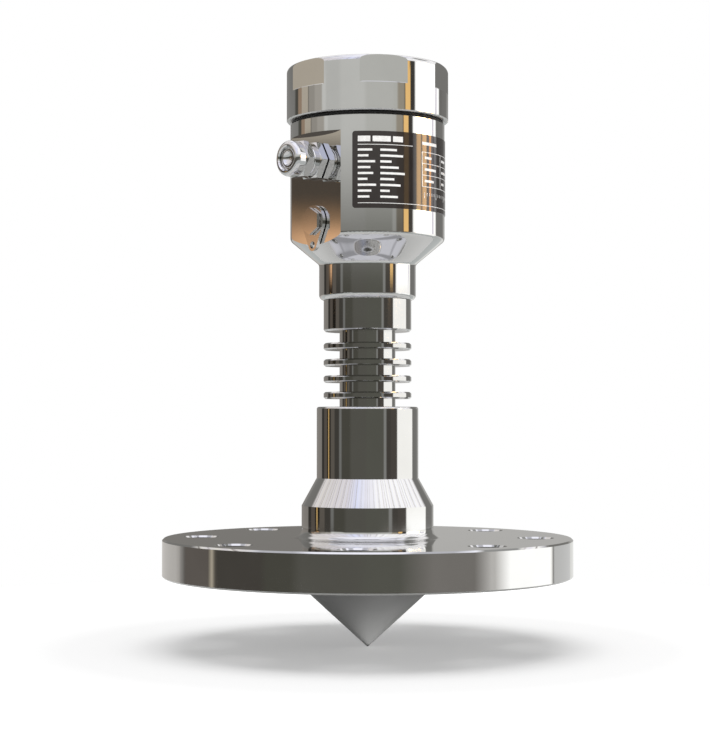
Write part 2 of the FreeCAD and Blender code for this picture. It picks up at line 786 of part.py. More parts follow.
# Stations along the gland, outward from the milled flat
BASE_FOOT = "gland_washer_thickness"
BASE_TOP = BASE_FOOT + " + gland_base_length"
BARREL_TOP = BASE_TOP + " + gland_barrel_length"
SEAL_FOOT = BARREL_TOP + " - gland_seal_depth"
SEAL_TOP = SEAL_FOOT + " + gland_seal_length"
SLIP_FOOT = SEAL_TOP + " + slip_gap"
SLIP_TOP = SLIP_FOOT + " + gland_slip_ring_thickness"
NUT_FOOT = BASE_TOP + " + nut_gap"
HEX_TOP = NUT_FOOT + " + nut_hex_length"
DOME_FOOT = HEX_TOP + " + nut_collar_length"
NUT_FRONT = DOME_FOOT + " + nut_dome_length"


def gland_washer():
    """Black flat seal between the gland's hexagon and the milled flat."""
    body = turned("gland_washer", [
        ("gland_shank_radius + fit_gap", "0"),
        ("gland_across_flats / 2 - gland_washer_inset", "0"),
        ("gland_across_flats / 2 - gland_washer_inset", BASE_FOOT),
        ("gland_shank_radius + fit_gap", BASE_FOOT),
    ])
    face_outward(body, GLAND_AXIS)
    return body


def gland_body():
    """Gland body: a hexagon with a threaded shank behind it and a threaded barrel before it."""
    body = new_body("gland_body")
    hex_sketch = new_sketch(body, "base_hexagon", "XY_Plane", BASE_FOOT)
    hexagon(hex_sketch, "gland_across_flats", corner_up=True)
    padded(body, "base", hex_sketch, "gland_base_length")
    crown(body, "base_front_crown", "gland_across_flats", BASE_TOP, "down")
    section = new_sketch(body, "barrel_section", "XZ_Plane")
    draw_outline(section, [
        ("0", "-gland_shank_length"),
        ("gland_shank_radius", "-gland_shank_length"),
        ("gland_shank_radius", BASE_FOOT + " + fit_gap"),
        ("gland_thread_radius", BASE_FOOT + " + fit_gap"),
        ("gland_thread_radius", BARREL_TOP),
        ("0", BARREL_TOP),
    ])
    add_turned(body, "barrel", section)
    bore = new_sketch(body, "bore_section", "XZ_Plane")
    draw_outline(bore, [
        ("0", "-gland_shank_length"),
        ("gland_bore_radius", "-gland_shank_length"),
        ("gland_bore_radius", SEAL_FOOT),
        ("gland_seal_radius + fit_gap", SEAL_FOOT),
        ("gland_seal_radius + fit_gap", BARREL_TOP),
        ("0", BARREL_TOP),
    ])
    add_turned(body, "bore", bore, "PartDesign::Groove")
    face_outward(body, GLAND_AXIS)
    return body


def gland_seal():
    """Rubber insert that the dome nut squeezes on the cable, or on the blanking plug."""
    body = turned("gland_seal", [
        ("gland_plug_radius + fit_gap", SEAL_FOOT),
        ("gland_seal_radius", SEAL_FOOT),
        ("gland_seal_radius", SEAL_TOP),
        ("gland_plug_radius + fit_gap", SEAL_TOP),
    ])
    face_outward(body, GLAND_AXIS)
    return body


def gland_plug():
    """Blanking plug in the rubber insert, with a round dimple in its front face."""
    front = SEAL_FOOT + " + gland_plug_length"
    body = turned("gland_plug", [
        ("0", SEAL_FOOT),
        ("gland_plug_radius", SEAL_FOOT),
        ("gland_plug_radius", front),
        ("0", front),
    ])
    dimple = body.newObject("PartDesign::SubtractiveSphere", "dimple")
    plane = [part for part in body.Origin.OriginFeatures if part.Role == "XY_Plane"][0]
    dimple.AttachmentSupport = (plane, [""])
    dimple.MapMode = "FlatFace"
    dimple.setExpression("Radius", sized("gland_plug_ball_radius"))
    dimple.setExpression("AttachmentOffset.Base.z", sized(front + " + gland_plug_ball_rise"))
    doc.recompute()
    face_outward(body, GLAND_AXIS)
    return body


def gland_slip_ring():
    """Thin ring that lets the dome nut turn without dragging the rubber, with a round-edged boss."""
    inner = "gland_plug_radius + slip_gap"
    front = SLIP_TOP + " + slip_boss_height"
    body = turned("gland_slip_ring", [
        (inner, SLIP_FOOT),
        ("gland_seal_radius", SLIP_FOOT),
        ("gland_seal_radius", SLIP_TOP),
        ("slip_boss_radius", SLIP_TOP),
        ("slip_boss_radius", front),
        (inner, front),
    ])
    rims = circular_edges(body, level("slip_boss_radius"), level(front))
    rims += circular_edges(body, level(inner), level(front))
    softened(body, "boss_rims", "Fillet", "slip_boss_round", rims)
    face_outward(body, GLAND_AXIS)
    return body


def gland_nut():
    """Dome nut: hexagon, short collar and a rounded dome with a funnel-shaped mouth."""
    body = new_body("gland_nut")
    hex_sketch = new_sketch(body, "nut_hexagon", "XY_Plane", NUT_FOOT)
    hexagon(hex_sketch, "gland_across_flats", corner_up=True)
    padded(body, "nut_hex", hex_sketch, "nut_hex_length")
    crown(body, "nut_back_crown", "gland_across_flats", NUT_FOOT, "up")
    crown(body, "nut_front_crown", "gland_across_flats", HEX_TOP, "down")
    dome = new_sketch(body, "dome_section", "XZ_Plane")
    draw_outline(dome, [
        ("0", HEX_TOP + " - fit_gap"),
        ("gland_across_flats / 2 - nut_collar_inset", HEX_TOP + " - fit_gap"),
        ("gland_across_flats / 2 - nut_collar_inset", DOME_FOOT),
        ("gland_across_flats / 2 + nut_dome_overhang", DOME_FOOT),
        ("gland_across_flats / 2 + nut_dome_overhang", NUT_FRONT),
        ("0", NUT_FRONT),
    ])
    add_turned(body, "dome", dome)
    dome_radius = level("gland_across_flats") / 2 + level("nut_dome_overhang")
    edge = circular_edges(body, dome_radius, level(NUT_FRONT))
    softened(body, "dome_round", "Fillet", "nut_dome_round", edge)
    seat = SLIP_TOP + " + slip_gap"
    wide = "gland_thread_radius + fit_gap"
    bore = new_sketch(body, "nut_bore_section", "XZ_Plane")
    draw_outline(bore, [
        ("0", NUT_FOOT),
        (wide, NUT_FOOT),
        (wide, BARREL_TOP + " + slip_gap"),
        ("gland_seal_radius + slip_gap", BARREL_TOP + " + slip_gap"),
        ("gland_seal_radius + slip_gap", seat),
        ("nut_throat_radius", seat),
        ("nut_throat_radius", NUT_FRONT + " - nut_mouth_depth"),
        ("nut_mouth_radius", NUT_FRONT),
        ("0", NUT_FRONT),
    ])
    add_turned(body, "nut_bore", bore, "PartDesign::Groove")
    face_outward(body, GLAND_AXIS)
    return body


# Stations along the earth terminal, outward from the milled flat
TAG_FOOT = "lock_washer_thickness"
TAG_TOP = TAG_FOOT + " + earth_tag_thickness"
HEAD_FOOT = TAG_TOP + " + spring_washer_thickness + fit_gap"


def earth_washer(label, radius, foot, top):
    """A flat ring round the earth screw's shank."""
    body = turned(label, [
        ("earth_shank_radius + slip_gap", foot),
        (radius, foot),
        (radius, top),
        ("earth_shank_radius + slip_gap", top),
    ])
    face_outward(body, EARTH_AXIS)
    return body


def earth_tag():
    """Drop-shaped plate: a round end on the screw, tangent sides, and a small eye below."""
    body = new_body("earth_tag")
    sketch = new_sketch(body, "tag_outline", "XY_Plane", TAG_FOOT)
    up = Vector(0, 0, 1)
    big = sketch.addGeometry(Part.ArcOfCircle(Part.Circle(Vector(0, 0, 0), up, 8), -1.9, 1.9), False)
    small = sketch.addGeometry(
        Part.ArcOfCircle(Part.Circle(Vector(-12, 0, 0), up, 3), 1.9, -1.9), False)
    left = sketch.addGeometry(Part.LineSegment(Vector(-3, 7.5, 0), Vector(-13, 3, 0)), False)
    right = sketch.addGeometry(Part.LineSegment(Vector(-13, -3, 0), Vector(-3, -7.5, 0)), False)
    for first, first_end, second, second_end in (
            (big, 2, left, 1), (left, 2, small, 1), (small, 2, right, 1), (right, 2, big, 1)):
        sketch.addConstraint(
            Sketcher.Constraint("Tangent", first, first_end, second, second_end))
    place_point(sketch, big, 3, "0", "0")
    place_point(sketch, small, 3, "-earth_eye_distance", "0")
    for arc, radius in ((big, "earth_tag_radius"), (small, "earth_eye_radius")):
        rule = sketch.addConstraint(Sketcher.Constraint("Radius", arc, 5.0))
        sketch.setExpression("Constraints[%d]" % rule, sized(radius))
    draw_circle(sketch, "earth_shank_radius + slip_gap")
    draw_circle(sketch, "earth_eye_hole_radius", "-earth_eye_distance", "0")
    padded(body, "tag", sketch, "earth_tag_thickness")
    face_outward(body, EARTH_AXIS)
    return body


def earth_bolt():
    """Hexagon-head screw that clamps the earth tag."""
    body = new_body("earth_bolt")
    head = new_sketch(body, "head_hexagon", "XY_Plane", HEAD_FOOT)
    hexagon(head, "earth_head_across_flats", corner_up=False)
    padded(body, "head", head, "earth_head_height")
    shank = new_sketch(body, "earth_shank_circle", "XY_Plane", HEAD_FOOT)
    draw_circle(shank, "earth_shank_radius")
    padded(body, "shank", shank, "earth_shank_length", reverse=True)
    face_outward(body, EARTH_AXIS)
    return body


def lid():
    """Screw cap: turned, with wrench flats milled on its upper half."""
    inner = LID_RADIUS + " - lid_wall"
    body = turned("lid", [
        (LID_THREAD, LID_BASE),
        (LID_RADIUS, LID_BASE),
        (LID_RADIUS, LID_TOP),
        ("0", LID_TOP),
        ("0", LID_TOP + " - lid_top_thickness"),
        (inner, LID_TOP + " - lid_top_thickness"),
        (inner, RIM_TOP + " + lid_rim_clearance"),
        (LID_THREAD, RIM_TOP + " + lid_rim_clearance"),
    ])
    edge = circular_edges(body, level(LID_RADIUS), level(LID_TOP))
    softened(body, "lid_top_edge", "Fillet", "lid_top_round", edge)
    edge = circular_edges(body, level(LID_RADIUS), level(LID_BASE))
    softened(body, "lid_edge", "Chamfer", "lid_edge_chamfer", edge)
    sketch = new_sketch(body, "wrench_flat_outline", "XY_Plane", LID_TOP)
    near = LID_RADIUS + " - lid_flat_depth"
    far = LID_RADIUS + " + lid_top_round"
    draw_outline(sketch, [(near, "-" + LID_RADIUS), (far, "-" + LID_RADIUS), (far, LID_RADIUS),
                          (near, LID_RADIUS)])
    flat = cut(body, "wrench_flat", sketch, "lid_flat_height")
    around(body, "wrench_flats", [flat], "lid_flat_count")
    ledges = circular_edges(body, level(LID_RADIUS), level(LID_TOP + " - lid_flat_height"))
    softened(body, "ledge_edges", "Chamfer", "lid_flat_chamfer", ledges)
    return body


def all_pieces():
    swivel_height = SHOULDER_TOP + " + swivel_groove_height + swivel_groove_width / 2"
    return [
        process_flange(),
        cooling_neck(),
        antenna_lens(),
        antenna_horn(),
        waveguide_tube(),
        o_ring("lens_seal", GROOVE_RADIUS, "lens_ring_section",
               "lens_groove_depth - lens_ring_section"),
        o_ring("swivel_seal", "journal_radius - swivel_groove_depth + swivel_ring_section",
               "swivel_ring_section", swivel_height),
        retaining_ring(),
        housing(),
        nameplate(),
        electronics_insert(),
        insert_screws(),
        rf_module(),
        terminal_block(),
        terminal_screws(),
        gland_washer(),
        gland_body(),
        gland_seal(),
        gland_plug(),
        gland_slip_ring(),
        gland_nut(),
        earth_washer("earth_lock_washer", "lock_washer_radius", "0", TAG_FOOT),
        earth_tag(),
        earth_washer("earth_spring_washer", "spring_washer_radius", TAG_TOP,
                     TAG_TOP + " + spring_washer_thickness"),
        earth_bolt(),
        o_ring("lid_seal", LID_THREAD + " + lid_ring_section", "lid_ring_section",
               BODY_TOP + " + seal_gap + lid_ring_section"),
        lid(),
    ]


pieces = all_pieces()
doc.recompute()

for item in doc.Objects:
    if "Invalid" in item.State or "Error" in item.State:
        raise RuntimeError(item.Label + " failed: " + ", ".join(item.State))
for piece in pieces:
    if piece.Shape.isNull() or not piece.Shape.isValid():
        raise RuntimeError(piece.Label + " has no valid shape")

os.makedirs("parts", exist_ok=True)
for piece in pieces:
    piece.Shape.exportStep("parts/" + piece.Label + ".step")
    box = piece.Shape.BoundBox
    print("%-22s %2d solid(s) %10.1f mm3  x %7.2f..%7.2f  y %7.2f..%7.2f  z %7.2f..%7.2f" % (
        piece.Label, len(piece.Shape.Solids), piece.Shape.Volume,
        box.XMin, box.XMax, box.YMin, box.YMax, box.ZMin, box.ZMax))
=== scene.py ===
import math

import bmesh
import bpy
from mathutils import Matrix, Vector


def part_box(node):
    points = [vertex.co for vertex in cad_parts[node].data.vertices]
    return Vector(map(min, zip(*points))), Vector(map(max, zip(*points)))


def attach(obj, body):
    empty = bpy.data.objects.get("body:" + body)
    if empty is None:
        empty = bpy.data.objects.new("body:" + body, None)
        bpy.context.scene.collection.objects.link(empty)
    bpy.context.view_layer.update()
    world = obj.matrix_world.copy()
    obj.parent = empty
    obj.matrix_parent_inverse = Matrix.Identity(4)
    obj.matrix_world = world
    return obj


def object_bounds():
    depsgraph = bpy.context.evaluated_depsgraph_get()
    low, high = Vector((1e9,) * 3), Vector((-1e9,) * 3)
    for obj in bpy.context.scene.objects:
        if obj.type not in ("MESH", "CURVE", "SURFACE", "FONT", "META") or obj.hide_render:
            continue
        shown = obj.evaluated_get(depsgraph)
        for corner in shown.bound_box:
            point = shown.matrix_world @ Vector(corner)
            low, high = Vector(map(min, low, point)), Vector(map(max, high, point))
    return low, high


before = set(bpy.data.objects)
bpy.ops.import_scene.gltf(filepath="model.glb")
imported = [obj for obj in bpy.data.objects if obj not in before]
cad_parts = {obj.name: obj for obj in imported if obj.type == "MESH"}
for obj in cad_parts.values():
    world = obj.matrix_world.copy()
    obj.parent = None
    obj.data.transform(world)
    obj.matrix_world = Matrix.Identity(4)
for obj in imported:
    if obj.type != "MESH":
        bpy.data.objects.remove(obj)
cad_box = [list(corner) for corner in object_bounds()]
MM = 0.001


# Process flange with hub and stem: one forging of 316L stainless steel, turned all over on a
# lathe and then polished, so it mirrors the room and keeps only faint rings from the tool. The
# cooling neck is turned from bar of the same steel.
def linear(code):
    """An sRGB hex colour as linear RGBA."""
    parts = [int(code[k:k + 2], 16) / 255 for k in (1, 3, 5)]
    return tuple(c / 12.92 if c <= 0.04045 else ((c + 0.055) / 1.055) ** 2.4 for c in parts) + (1,)


def add(tree, kind, inputs=None, stops=(), **settings):
    """One node with its settings. An input is a value, a node or one of its sockets to link
    from, and stops are the (place, hex colour) pairs of a colour ramp."""
    node = tree.nodes.new(kind)
    for name, value in settings.items():
        setattr(node, name, value)
    for name, value in (inputs or {}).items():
        if isinstance(value, bpy.types.Node):
            value = [socket for socket in value.outputs if socket.enabled][0]
        if isinstance(value, bpy.types.NodeSocket):
            tree.links.new(value, node.inputs[name])
        else:
            node.inputs[name].default_value = value
    while stops and len(node.color_ramp.elements) < len(stops):
        node.color_ramp.elements.new(0.5)
    for k, (place, code) in enumerate(stops):
        node.color_ramp.elements[k].position = place
        node.color_ramp.elements[k].color = linear(code)
    return node


def new_finish(name, **surface):
    """An empty material with its main shader. Surface values go straight to the shader."""
    material = bpy.data.materials.new(name)
    material.use_nodes = True
    tree = material.node_tree
    tree.nodes.clear()
    shader = add(tree, "ShaderNodeBsdfPrincipled", surface)
    add(tree, "ShaderNodeOutputMaterial", {"Surface": shader})
    return material, tree, shader


def tool_rings(tree, pitch_mm, axis="Z", centre=(0, 0, 0)):
    """Fine noise drawn out all round a piece's own axis, as the marks of a turning tool are."""
    place = add(tree, "ShaderNodeTexCoord").outputs["Object"]
    offset = add(tree, "ShaderNodeVectorMath", {0: place, 1: centre}, operation="SUBTRACT")
    along = Vector((axis == "X", axis == "Y", axis == "Z"))
    across = Vector((1, 1, 1)) - along
    height = add(tree, "ShaderNodeVectorMath", {0: offset, 1: along}, operation="DOT_PRODUCT")
    flat = add(tree, "ShaderNodeVectorMath", {0: offset, 1: across}, operation="MULTIPLY")
    radius = add(tree, "ShaderNodeVectorMath", {0: flat}, operation="LENGTH")
    section = add(tree, "ShaderNodeCombineXYZ", {
        "X": radius.outputs["Value"], "Y": height.outputs["Value"]})
    return add(tree, "ShaderNodeTexNoise", {
        "Vector": section, "Scale": 1 / (pitch_mm * MM), "Detail": 3.0, "Roughness": 0.6})


def clouds_of(tree, size_mm):
    """Broad soft noise for handling marks or an uneven surface, at the given size."""
    place = add(tree, "ShaderNodeTexCoord").outputs["Object"]
    return add(tree, "ShaderNodeTexNoise", {
        "Vector": place, "Scale": 1 / (size_mm * MM), "Detail": 4.0, "Roughness": 0.55})


THIN_CLOUD, THICK_CLOUD = 0.3, 0.7


def uneven(tree, shader, clouds, low, high, gloss_low=None, gloss_high=None):
    """Let a surface's colour, and its gloss where given, drift with the clouds."""
    tint = add(tree, "ShaderNodeValToRGB", {"Fac": clouds}, stops=[
        (THIN_CLOUD, low), (THICK_CLOUD, high)])
    tree.links.new(tint.outputs["Color"], shader.inputs["Base Color"])
    if gloss_low is not None:
        gloss = add(tree, "ShaderNodeMapRange", {
            "Value": clouds, "From Min": THIN_CLOUD, "From Max": THICK_CLOUD,
            "To Min": gloss_low, "To Max": gloss_high})
        tree.links.new(gloss.outputs["Result"], shader.inputs["Roughness"])


def rough_up(tree, shader, height, strength, depth_mm):
    """Raise a height pattern in the surface's shading. Returns the node that does it."""
    bump = add(tree, "ShaderNodeBump", {
        "Height": height, "Strength": strength, "Distance": depth_mm * MM})
    tree.links.new(bump.outputs["Normal"], shader.inputs["Normal"])
    return bump


def polished_steel(name, low, high, gloss_low, gloss_high, rings_mm=0.9, axis="Z",
                   centre=(0, 0, 0)):
    """Turned and polished stainless steel. The tool's rings are drawn coarser than the real
    0.1 mm feed, because that is too fine to show."""
    material, tree, shader = new_finish(name, Metallic=1.0)
    uneven(tree, shader, clouds_of(tree, size_mm=24), low, high, gloss_low, gloss_high)
    rings = tool_rings(tree, rings_mm, axis, centre)
    rough_up(tree, shader, rings, strength=0.04, depth_mm=0.02)
    return material


def dress(material, *nodes):
    """Give CAD nodes their finish."""
    for name in nodes:
        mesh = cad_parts[name].data
        mesh.materials.clear()
        mesh.materials.append(material)


flange_steel = polished_steel("turned_316_steel", "#c6c6c4", "#cbcbc9",
                              gloss_low=0.03, gloss_high=0.055)
dress(flange_steel, "process_flange")
neck_steel = polished_steel("turned_neck_steel", "#c6c6c4", "#cbcbc9",
                            gloss_low=0.04, gloss_high=0.065)
dress(neck_steel, "cooling_neck")


# Antenna lens: injection-moulded grey polypropylene. The mould leaves a fine satin grain that
# spreads the light, so it only shows soft highlights.
lens_plastic, tree, shader = new_finish("satin_grey_polypropylene", **{
    "Roughness": 0.36, "IOR": 1.49})
uneven(tree, shader, clouds_of(tree, size_mm=30), "#747473", "#7c7c7b")
rough_up(tree, shader, clouds_of(tree, size_mm=0.8), strength=0.15, depth_mm=0.1)
dress(lens_plastic, "antenna_lens")


# Horn and waveguide: a turned steel horn pressed into the hub, and a drawn brass tube up the
# neck. Both stay hidden in use.
horn_steel = polished_steel("turned_horn_steel", "#b9b7b2", "#c4c2bd",
                            gloss_low=0.22, gloss_high=0.3)
dress(horn_steel, "antenna_horn")
tube_brass, tree, shader = new_finish("drawn_brass", Metallic=1.0)
uneven(tree, shader, clouds_of(tree, size_mm=12), "#b8924e", "#c9a560",
       gloss_low=0.25, gloss_high=0.35)
dress(tube_brass, "waveguide_tube")


# Seals: rings and washers moulded from black nitrile rubber, so they are dull and have a faint
# bloom. Each lies between two pieces and closes the joint there.
seal_rubber, tree, shader = new_finish("black_nitrile_rubber", **{
    "IOR": 1.52, "Specular IOR Level": 0.4})
uneven(tree, shader, clouds_of(tree, size_mm=3), "#0c0c0c", "#161616",
       gloss_low=0.5, gloss_high=0.65)
dress(seal_rubber, "lens_seal", "swivel_seal", "lid_seal", "gland_seal", "gland_washer")


# Snap ring and spring washer: stamped spring steel, tumbled until the edges are dull. The ring
# snaps into the neck's journal and keeps the housing on it.
spring_steel, tree, shader = new_finish("tumbled_spring_steel", Metallic=1.0)
uneven(tree, shader, clouds_of(tree, size_mm=4), "#8f8c88", "#b4b1ac",
       gloss_low=0.22, gloss_high=0.32)
dress(spring_steel, "retaining_ring", "earth_spring_washer")


# Housing: a cup turned from stainless bar, with one big milled flat for the gland and the earth
# screw. It is polished bright, so every edge of the studio shows in it. Hand buffing rolls the
# two ends of its cone, so what the cone mirrors bends back there.
housing_steel, tree, shader = new_finish("buffed_housing_steel", Metallic=1.0)
uneven(tree, shader, clouds_of(tree, size_mm=24), "#c6c6c4", "#cbcbc9",
       gloss_low=0.03, gloss_high=0.05)
rings = rough_up(tree, shader, tool_rings(tree, pitch_mm=0.9), strength=0.04, depth_mm=0.02)
CONE_FOOT, CONE_MIDDLE, CONE_HEAD = 168.0 * MM, 174.0 * MM, 179.4 * MM
ROLL_REACH = 6.5 * MM
ROLL_DEPTH = 0.7 * MM
CONE_FACES_DOWN = -0.6
OTHERS_FACE_DOWN = -0.5
place = add(tree, "ShaderNodeTexCoord").outputs["Object"]
height = add(tree, "ShaderNodeSeparateXYZ", {"Vector": place}).outputs["Z"]
held = add(tree, "ShaderNodeClamp", {"Value": height, "Min": CONE_FOOT, "Max": CONE_HEAD})
reach = add(tree, "ShaderNodeMath", {0: held, 1: CONE_MIDDLE}, operation="SUBTRACT")
reach = add(tree, "ShaderNodeMath", {0: reach, 1: ROLL_REACH}, operation="DIVIDE")
size = add(tree, "ShaderNodeMath", {0: reach}, operation="ABSOLUTE")
cube = add(tree, "ShaderNodeMath", {0: size, 1: 3.0}, operation="POWER")
roll = add(tree, "ShaderNodeMath", {0: cube, 1: reach}, operation="MULTIPLY")
# The roll is drawn only where the steel faces down as much as the cone does.
facing = add(tree, "ShaderNodeNewGeometry").outputs["True Normal"]
slope = add(tree, "ShaderNodeSeparateXYZ", {"Vector": facing}).outputs["Z"]
on_cone = add(tree, "ShaderNodeMapRange", {
    "Value": slope, "From Min": OTHERS_FACE_DOWN, "From Max": CONE_FACES_DOWN})
buffed = add(tree, "ShaderNodeBump", {
    "Height": roll, "Strength": on_cone.outputs["Result"], "Distance": ROLL_DEPTH}, invert=True)
tree.links.new(buffed.outputs["Normal"], rings.inputs["Normal"])
dress(housing_steel, "housing")


# Rim thread: cut into the housing's rim, so it shows as soon as the lid is lifted. It stands
# proud of the plain rim by less than the running gap to the lid.
def thread_ridge(name, radius_mm, start_mm, turns, pitch_mm, height_mm, to_place):
    """A helical ridge of triangular section, sunk a little in the shank and run out at its two
    ends, where it is closed. A Blender object, in place."""
    shape = bmesh.new()
    steps = 72
    run_out = 12
    half_width = 0.36 * pitch_mm
    root = radius_mm - 0.05
    lowest_crest = radius_mm - 0.04
    count = int(turns * steps)
    rows = []
    for k in range(count + 1):
        angle = 2 * math.pi * k / steps
        middle = start_mm + pitch_mm * k / steps
        fade = min(1.0, k / run_out, (count - k) / run_out)
        crest = lowest_crest + height_mm * fade
        section = [(root, middle - half_width), (crest, middle), (root, middle + half_width)]
        rows.append([shape.verts.new(to_place @ Vector(
            (r * math.cos(angle) * MM, r * math.sin(angle) * MM, z * MM))) for r, z in section])
    for low, high in zip(rows, rows[1:]):
        for k in range(3):
            shape.faces.new((low[k], low[(k + 1) % 3], high[(k + 1) % 3], high[k]))
    shape.faces.new(rows[0][::-1])
    shape.faces.new(rows[-1])
    bmesh.ops.recalc_face_normals(shape, faces=shape.faces)
    mesh = bpy.data.meshes.new(name)
    shape.to_mesh(mesh)
    shape.free()
    ridge = bpy.data.objects.new(name, mesh)
    bpy.context.scene.collection.objects.link(ridge)
    return ridge


SEAL_GAP = 0.1
BODY_TOP_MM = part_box("lid_seal")[0][2] / MM - SEAL_GAP
rim_thread = thread_ridge("rim_thread", radius_mm=39.3, start_mm=BODY_TOP_MM + 1.6, turns=5.1,
                          pitch_mm=2.0, height_mm=0.25, to_place=Matrix())
rim_thread.data.materials.append(housing_steel)
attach(rim_thread, "head")


# Nameplate: thin steel foil enamelled gloss black and wrapped round the housing. Its print is
# generic: plain bars where words would be, a rule, an empty table and a row of ticks.
plate_enamel, tree, shader = new_finish("gloss_black_enamel", **{"IOR": 1.5, "Roughness": 0.07})
uneven(tree, shader, clouds_of(tree, size_mm=10), "#2b2624", "#302b29")
dress(plate_enamel, "nameplate")
PLATE_RADIUS = 41.99
PLATE_HALF_ANGLE = 52.5
PLATE_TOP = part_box("nameplate")[1][2] / MM
INK_INSIDE, INK_OUTSIDE = PLATE_RADIUS - 0.01, PLATE_RADIUS + 0.03
FACET_LENGTH = 1.5
print_shape = bmesh.new()


def printed(left, right, top, bottom):
    """One printed patch, from the plate's left edge and from its top edge, in mm along it."""
    steps = max(1, round((right - left) / FACET_LENGTH))
    rows = []
    for k in range(steps + 1):
        along = left + (right - left) * k / steps
        angle = math.radians(-PLATE_HALF_ANGLE) + along / PLATE_RADIUS
        rows.append([print_shape.verts.new(Vector(
            (radius * math.sin(angle), -radius * math.cos(angle), PLATE_TOP - drop)) * MM)
            for radius, drop in ((INK_INSIDE, top), (INK_OUTSIDE, top),
                                 (INK_OUTSIDE, bottom), (INK_INSIDE, bottom))])
    for here, there in zip(rows, rows[1:]):
        for k in range(4):
            print_shape.faces.new((here[k], here[(k + 1) % 4], there[(k + 1) % 4], there[k]))
    print_shape.faces.new(rows[0][::-1])
    print_shape.faces.new(rows[-1])


MARGIN, VALUE_LEFT, TABLE_LEFT, TABLE_MIDDLE, PRINT_RIGHT = 2.9, 14.6, 39.5, 56.8, 74.0
LINE = 0.3
BAR = 1.15
HALF_RULE = 0.2
for left, right in ((MARGIN, 9.4), (10.6, 20.2), (21.4, 27.0)):
    printed(left, right, 2.6, 5.5)
printed(MARGIN, 33.0, 6.9, 6.9 + LINE)
FIELDS_TOP = 9.2
FIELD_PITCH = 3.05
fields = ((7.5, 9.0), (5.5, 12.5), (9.0, 6.0), (6.5, 10.0), (8.0, 13.5), (5.0, 7.5), (9.5, 11.0),
          (7.0, 5.0), (6.0, 9.5))
for row, (name_length, value_length) in enumerate(fields):
    top = FIELDS_TOP + FIELD_PITCH * row
    printed(MARGIN, MARGIN + name_length, top, top + BAR)
    printed(VALUE_LEFT, VALUE_LEFT + value_length, top, top + BAR)
printed(MARGIN, PRINT_RIGHT, 37.3, 37.3 + LINE)
for edge in (TABLE_LEFT, TABLE_MIDDLE, PRINT_RIGHT):
    printed(edge - HALF_RULE, edge + HALF_RULE, FIELDS_TOP, 27.6)
for edge in (FIELDS_TOP, 15.2, 21.3, 27.3):
    printed(TABLE_LEFT + HALF_RULE, PRINT_RIGHT - HALF_RULE, edge, edge + LINE)
ROW_PITCH = 6.1
for row in range(3):
    top = 11.6 + ROW_PITCH * row
    printed(41.4, 47.0 + 2.2 * ((row * 2) % 3), top, top + 1.3)
    printed(58.6, 63.4 + 1.9 * ((row + 1) % 3), top, top + 1.3)
printed(TABLE_LEFT, 52.0, 4.0, 5.6)
TICK_PITCH = 2.1
for tick in range(16):
    left = 41.0 + TICK_PITCH * tick
    printed(left, left + LINE, 30.6, 33.6 if tick % 5 == 0 else 32.2)
bmesh.ops.recalc_face_normals(print_shape, faces=print_shape.faces)
print_mesh = bpy.data.meshes.new("nameplate_print")
print_shape.to_mesh(print_mesh)
print_shape.free()
plate_print = bpy.data.objects.new("nameplate_print", print_mesh)
bpy.context.scene.collection.objects.link(plate_print)
print_ink, tree, shader = new_finish("white_screen_ink", **{"IOR": 1.5, "Roughness": 0.3})
uneven(tree, shader, clouds_of(tree, size_mm=2), "#e4e2df", "#f4f3f1")
print_mesh.materials.append(print_ink)
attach(plate_print, "head")


# Electronics: a potted module in a moulded cup, a green terminal block and plated screws on it,
# and the radar module, milled from aluminium. The lid hides them in use.
insert_plastic, tree, shader = new_finish("moulded_black_polyamide", **{
    "Roughness": 0.45, "IOR": 1.53})
grain = clouds_of(tree, size_mm=1.2)
uneven(tree, shader, grain, "#1b1b1c", "#242425")
rough_up(tree, shader, grain, strength=0.2, depth_mm=0.1)
dress(insert_plastic, "electronics_insert")
terminal_plastic, tree, shader = new_finish("moulded_green_polyamide", **{
    "Roughness": 0.4, "IOR": 1.53})
uneven(tree, shader, clouds_of(tree, size_mm=1.2), "#2c6b41", "#31764a")
dress(terminal_plastic, "terminal_block")
module_aluminium = polished_steel("machined_aluminium", "#c4c6c8", "#cfd1d3",
                                  gloss_low=0.25, gloss_high=0.35)
dress(module_aluminium, "rf_module")
plated_steel = polished_steel("plated_screw_steel", "#b9b7b4", "#c4c2bf",
                              gloss_low=0.2, gloss_high=0.28)
dress(plated_steel, "insert_screws", "terminal_screws")


# Cable gland: hexagon body, dome nut, slip ring and blanking plug, all machined from stainless
# bar and tumble-polished. Its thread shows when the dome nut is backed off.
gland_axis = [(low + high) / 2 for low, high in zip(*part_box("gland_body"))]
gland_centre = (0, 0, gland_axis[2])
gland_steel = polished_steel("tumbled_gland_steel", "#cacac9", "#d0d0cf",
                             gloss_low=0.04, gloss_high=0.07, rings_mm=0.5, axis="X",
                             centre=gland_centre)
dress(gland_steel, "gland_body", "gland_nut", "gland_slip_ring", "gland_plug")
outward = Matrix.Translation(gland_centre) @ Matrix.Rotation(math.radians(-90), 4, "Y")
gland_thread = thread_ridge("gland_thread", radius_mm=7.6, start_mm=41.9, turns=5.0,
                            pitch_mm=1.5, height_mm=0.25, to_place=outward)
gland_thread.data.materials.append(gland_steel)
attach(gland_thread, "head")


